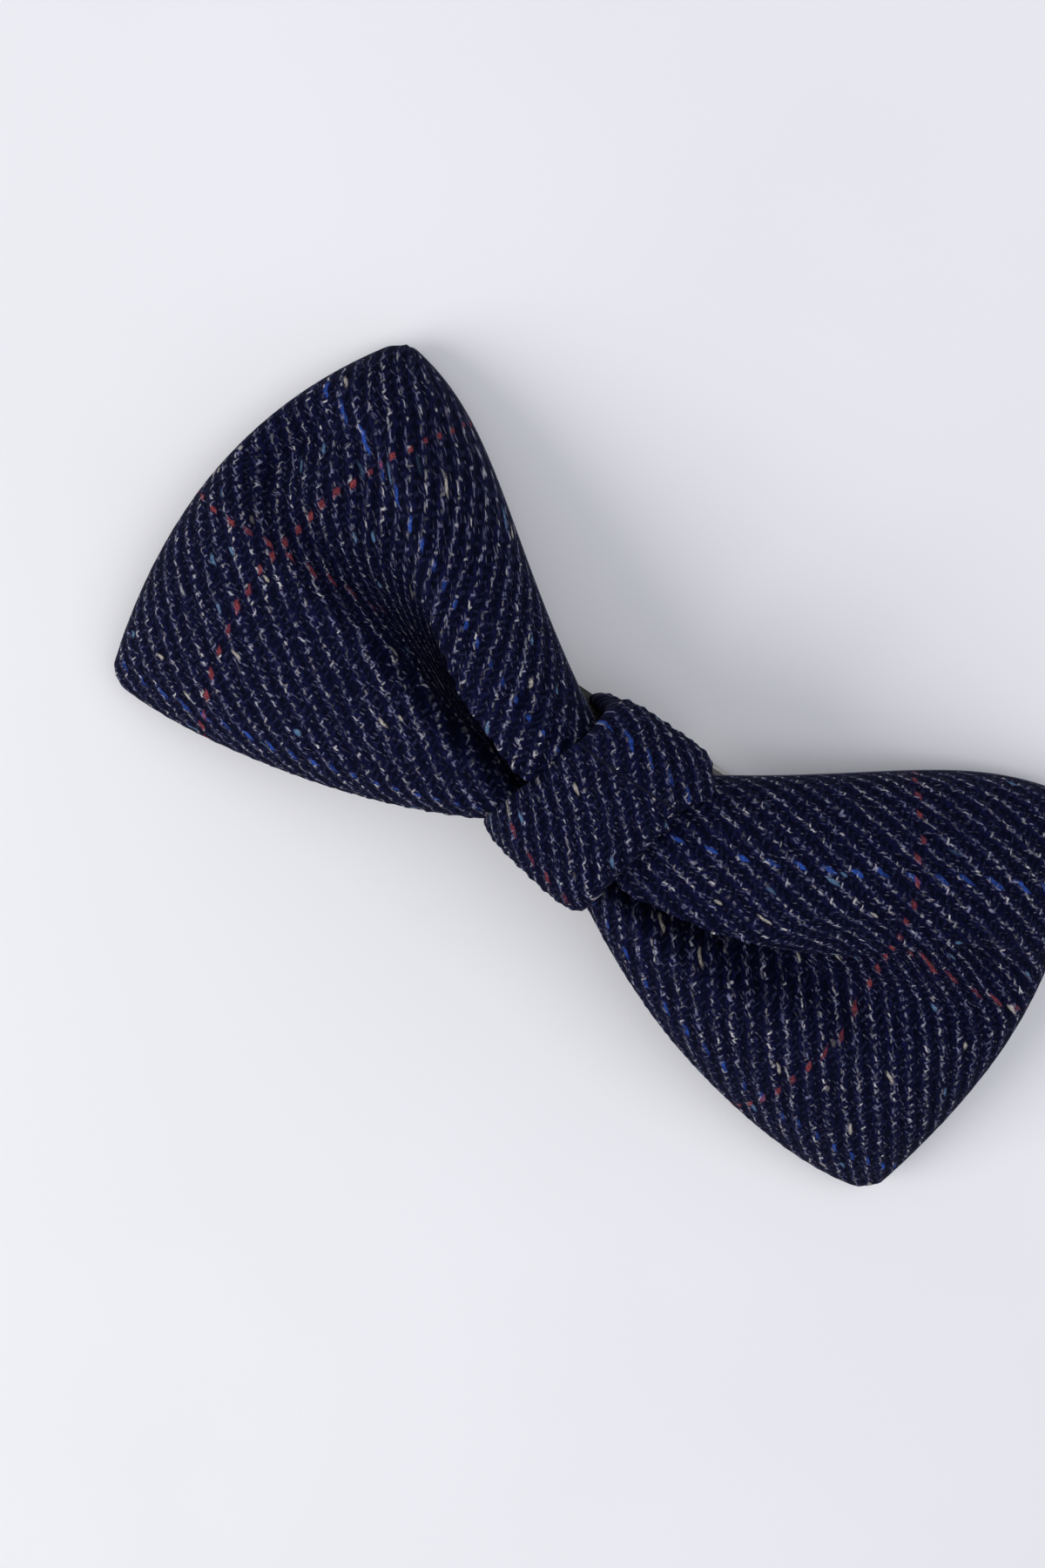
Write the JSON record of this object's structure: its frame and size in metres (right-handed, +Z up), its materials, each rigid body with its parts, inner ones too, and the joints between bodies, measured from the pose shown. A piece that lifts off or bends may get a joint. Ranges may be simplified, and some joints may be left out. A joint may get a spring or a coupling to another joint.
{
  "type": "ready-tied bow tie",
  "caption": "Ready-tied wool twill bow tie with a wrapped knot and a folding, length-adjustable neck strap with hook and ring.",
  "frame": {"origin": "the middle of the flat back face of the knot, which rests against the collar", "axes": "+X along the wings to the right side seen from the front, +Z up as worn, -Y towards the front of the bow"},
  "size_m": [0.1206, 0.0255, 0.0555],
  "materials": {
    "navy_wool_twill": "matte navy wool twill with light slubs",
    "navy_wool_back": "matte navy wool twill",
    "navy_wool_knot": "matte navy wool twill with light slubs",
    "interlining_canvas": "matte undyed canvas",
    "navy_thread": "matte polyester thread",
    "black_strap": "smooth black satin weave",
    "nickel_hardware": "satin nickel plate"
  },
  "bodies": {
    "bow": {"bow_front_panel": "navy_wool_twill", "bow_back_panel": "navy_wool_back", "bow_interlining": "interlining_canvas", "top_seam_thread": "navy_thread", "bottom_seam_thread": "navy_thread", "waist_gather_thread": "navy_thread", "knot_wrap": "navy_wool_knot", "knot_interlining": "interlining_canvas", "knot_closing_stitches": "navy_thread", "strap_layer_1": "black_strap", "strap_fold_1": "black_strap", "ring_tab_loop": "black_strap", "ring_tab_stitch": "navy_thread"},
    "strap_section_2": {"strap_layer_2": "black_strap", "strap_fold_2": "black_strap"},
    "strap_section_3": {"strap_layer_3": "black_strap", "strap_fold_3": "black_strap"},
    "strap_section_4": {"strap_layer_4": "black_strap", "strap_fold_4": "black_strap"},
    "strap_section_5": {"strap_layer_5": "black_strap"},
    "hook_end": {"hook_loop_fold": "black_strap", "strap_return": "black_strap"},
    "slider": {"slider_frame": "nickel_hardware", "slider_anchor_loop": "black_strap", "slider_bar_tack": "navy_thread"},
    "hook": {"neck_hook": "nickel_hardware"},
    "ring": {"neck_ring": "nickel_hardware"}
  },
  "joints": [
    {"name": "strap_unfold_1", "type": "hinge", "parent": "bow", "child": "strap_section_2", "pos_m": [-0.044, 0.00028, 0], "axis": [0, 0, 1], "range_deg": [0, 145], "deforming": ["strap_fold_1"]},
    {"name": "strap_unfold_2", "type": "hinge", "parent": "strap_section_2", "child": "strap_section_3", "pos_m": [0.0295, 0.00268, 0], "axis": [0, 0, -1], "range_deg": [0, 180], "deforming": ["strap_fold_2"]},
    {"name": "strap_unfold_3", "type": "hinge", "parent": "strap_section_3", "child": "strap_section_4", "pos_m": [-0.039, 0.00348, 0], "axis": [0, 0, 1], "range_deg": [0, 180], "deforming": ["strap_fold_3"]},
    {"name": "strap_unfold_4", "type": "hinge", "parent": "strap_section_4", "child": "strap_section_5", "pos_m": [0.028, 0.00473, 0], "axis": [0, 0, -1], "range_deg": [0, 180], "deforming": ["strap_fold_4"]},
    {"name": "hook_end_slide", "type": "slide", "parent": "strap_section_5", "child": "hook_end", "axis": [-1, 0, 0], "range_m": [0, 0.03]},
    {"name": "slider_slide", "type": "slide", "parent": "hook_end", "child": "slider", "axis": [-1, 0, 0], "range_m": [0, 0.03], "deforming": ["strap_return"]},
    {"name": "hook_pivot", "type": "hinge", "parent": "hook_end", "child": "hook", "pos_m": [-0.0249, 0.00643, 0], "axis": [0, 0, -1], "range_deg": [0, 90]},
    {"name": "ring_pivot", "type": "hinge", "parent": "bow", "child": "ring", "pos_m": [0.033, -0.00072, 0], "axis": [0, 0, 1], "range_deg": [0, 90]}
  ],
  "couplings": [
    {"joint": "strap_unfold_2", "follows": "strap_unfold_1", "ratio": 1.2414},
    {"joint": "strap_unfold_3", "follows": "strap_unfold_1", "ratio": 1.2414},
    {"joint": "strap_unfold_4", "follows": "strap_unfold_1", "ratio": 1.2414},
    {"joint": "slider_slide", "follows": "hook_end_slide", "ratio": 1}
  ]
}
